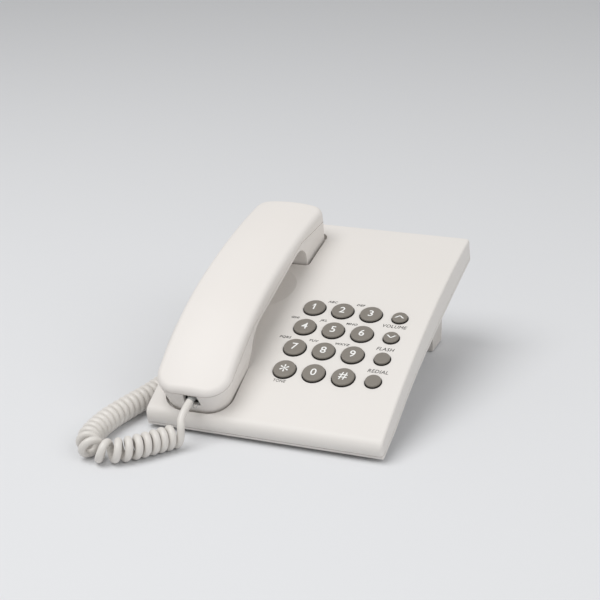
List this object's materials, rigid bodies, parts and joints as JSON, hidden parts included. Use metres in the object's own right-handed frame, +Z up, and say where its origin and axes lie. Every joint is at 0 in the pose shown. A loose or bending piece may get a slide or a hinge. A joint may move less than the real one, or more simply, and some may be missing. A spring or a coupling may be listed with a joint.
{
  "type": "corded desk telephone",
  "caption": "Corded desk telephone: wedge base on a rear stand, round dial keys and function keys, handset lying in a cradle at the left, curly cord on the table.",
  "frame": {"origin": "on the table under the middle of the phone's outline, without its curly cord and plugs", "axes": "+X to the user's right, +Y from the front edge to the rear, +Z up from the table"},
  "size_m": [0.1775, 0.2594, 0.0978],
  "materials": {
    "housing_plastic": "fine satin texture, warm white",
    "handset_plastic": "smooth satin, warm white",
    "key_plastic": "satin, warm grey with white legends",
    "dark_plastic": "matt black",
    "steel": "zinc plated",
    "soft_rubber": "matt",
    "cord_jacket": "satin, warm white",
    "clear_plug": "clear, slightly milky",
    "can_metal": "plain",
    "board_laminate": "tan laminate",
    "lead_jacket": "red"
  },
  "bodies": {
    "base": {"base_cord_jack": "dark_plastic", "base_weight": "steel", "board_screws": "steel", "capacitors": "can_metal", "cord_base_plug": "clear_plug", "cord_curls": "cord_jacket", "cord_lead": "cord_jacket", "cord_tail": "cord_jacket", "dial_switch": "dark_plastic", "front_feet": "soft_rubber", "handset_hanger": "housing_plastic", "hook_spring": "steel", "hook_switch": "dark_plastic", "housing_screws": "steel", "key_mat": "soft_rubber", "line_jack": "dark_plastic", "line_transformer": "dark_plastic", "lower_housing": "housing_plastic", "main_board": "board_laminate", "main_chip": "dark_plastic", "ringer_sounder": "dark_plastic", "ringer_switch": "dark_plastic", "sounder_leads": "lead_jacket", "stand": "housing_plastic", "stand_feet": "soft_rubber", "upper_housing": "housing_plastic"},
    "key_0": {"key_0": "key_plastic"},
    "key_1": {"key_1": "key_plastic"},
    "key_2": {"key_2": "key_plastic"},
    "key_3": {"key_3": "key_plastic"},
    "key_4": {"key_4": "key_plastic"},
    "key_5": {"key_5": "key_plastic"},
    "key_6": {"key_6": "key_plastic"},
    "key_7": {"key_7": "key_plastic"},
    "key_8": {"key_8": "key_plastic"},
    "key_9": {"key_9": "key_plastic"},
    "key_star": {"key_star": "key_plastic"},
    "key_hash": {"key_hash": "key_plastic"},
    "key_volume_up": {"key_volume_up": "key_plastic"},
    "key_volume_down": {"key_volume_down": "key_plastic"},
    "key_flash": {"key_flash": "key_plastic"},
    "key_redial": {"key_redial": "key_plastic"},
    "hook_button": {"hook_button": "housing_plastic"},
    "ringer_knob": {"ringer_knob": "dark_plastic"},
    "dial_mode_knob": {"dial_mode_knob": "dark_plastic"},
    "handset": {"handset_inner_shell": "handset_plastic", "handset_outer_shell": "handset_plastic", "handset_jack": "dark_plastic", "handset_weight": "steel", "handset_screws": "steel", "receiver": "dark_plastic", "receiver_ring": "steel", "receiver_leads": "lead_jacket", "microphone": "dark_plastic", "microphone_boot": "soft_rubber", "microphone_leads": "lead_jacket", "cord_handset_plug": "clear_plug"}
  },
  "joints": [
    {"name": "key_0_press", "type": "slide", "parent": "base", "child": "key_0", "axis": [0, 0.309, -0.9511], "range_m": [0, 0.0012], "stiffness_N_per_m": 300, "springref_m": -0.002, "deforming": ["key_mat"]},
    {"name": "key_1_press", "type": "slide", "parent": "base", "child": "key_1", "axis": [0, 0.309, -0.9511], "range_m": [0, 0.0012], "stiffness_N_per_m": 300, "springref_m": -0.002},
    {"name": "key_2_press", "type": "slide", "parent": "base", "child": "key_2", "axis": [0, 0.309, -0.9511], "range_m": [0, 0.0012], "stiffness_N_per_m": 300, "springref_m": -0.002},
    {"name": "key_3_press", "type": "slide", "parent": "base", "child": "key_3", "axis": [0, 0.309, -0.9511], "range_m": [0, 0.0012], "stiffness_N_per_m": 300, "springref_m": -0.002},
    {"name": "key_4_press", "type": "slide", "parent": "base", "child": "key_4", "axis": [0, 0.309, -0.9511], "range_m": [0, 0.0012], "stiffness_N_per_m": 300, "springref_m": -0.002},
    {"name": "key_5_press", "type": "slide", "parent": "base", "child": "key_5", "axis": [0, 0.309, -0.9511], "range_m": [0, 0.0012], "stiffness_N_per_m": 300, "springref_m": -0.002},
    {"name": "key_6_press", "type": "slide", "parent": "base", "child": "key_6", "axis": [0, 0.309, -0.9511], "range_m": [0, 0.0012], "stiffness_N_per_m": 300, "springref_m": -0.002},
    {"name": "key_7_press", "type": "slide", "parent": "base", "child": "key_7", "axis": [0, 0.309, -0.9511], "range_m": [0, 0.0012], "stiffness_N_per_m": 300, "springref_m": -0.002},
    {"name": "key_8_press", "type": "slide", "parent": "base", "child": "key_8", "axis": [0, 0.309, -0.9511], "range_m": [0, 0.0012], "stiffness_N_per_m": 300, "springref_m": -0.002},
    {"name": "key_9_press", "type": "slide", "parent": "base", "child": "key_9", "axis": [0, 0.309, -0.9511], "range_m": [0, 0.0012], "stiffness_N_per_m": 300, "springref_m": -0.002},
    {"name": "key_star_press", "type": "slide", "parent": "base", "child": "key_star", "axis": [0, 0.309, -0.9511], "range_m": [0, 0.0012], "stiffness_N_per_m": 300, "springref_m": -0.002},
    {"name": "key_hash_press", "type": "slide", "parent": "base", "child": "key_hash", "axis": [0, 0.309, -0.9511], "range_m": [0, 0.0012], "stiffness_N_per_m": 300, "springref_m": -0.002},
    {"name": "key_volume_up_press", "type": "slide", "parent": "base", "child": "key_volume_up", "axis": [0, 0.309, -0.9511], "range_m": [0, 0.0012], "stiffness_N_per_m": 300, "springref_m": -0.002},
    {"name": "key_volume_down_press", "type": "slide", "parent": "base", "child": "key_volume_down", "axis": [0, 0.309, -0.9511], "range_m": [0, 0.0012], "stiffness_N_per_m": 300, "springref_m": -0.002},
    {"name": "key_flash_press", "type": "slide", "parent": "base", "child": "key_flash", "axis": [0, 0.309, -0.9511], "range_m": [0, 0.0012], "stiffness_N_per_m": 300, "springref_m": -0.002},
    {"name": "key_redial_press", "type": "slide", "parent": "base", "child": "key_redial", "axis": [0, 0.309, -0.9511], "range_m": [0, 0.0012], "stiffness_N_per_m": 300, "springref_m": -0.002},
    {"name": "handset_lift", "type": "slide", "parent": "base", "child": "handset", "axis": [0, -0.309, 0.9511], "range_m": [0, 0.12]},
    {"name": "hook_rise", "type": "slide", "parent": "base", "child": "hook_button", "axis": [0, -0.309, 0.9511], "range_m": [0, 0.0032], "deforming": ["hook_spring"]},
    {"name": "ringer_slide", "type": "slide", "parent": "base", "child": "ringer_knob", "axis": [1, 0, 0], "range_m": [-0.0025, 0.0025]},
    {"name": "dial_mode_slide", "type": "slide", "parent": "base", "child": "dial_mode_knob", "axis": [1, 0, 0], "range_m": [-0.0025, 0.0025]}
  ],
  "couplings": [
    {"joint": "hook_rise", "follows": "handset_lift", "ratio": 0.026667}
  ]
}
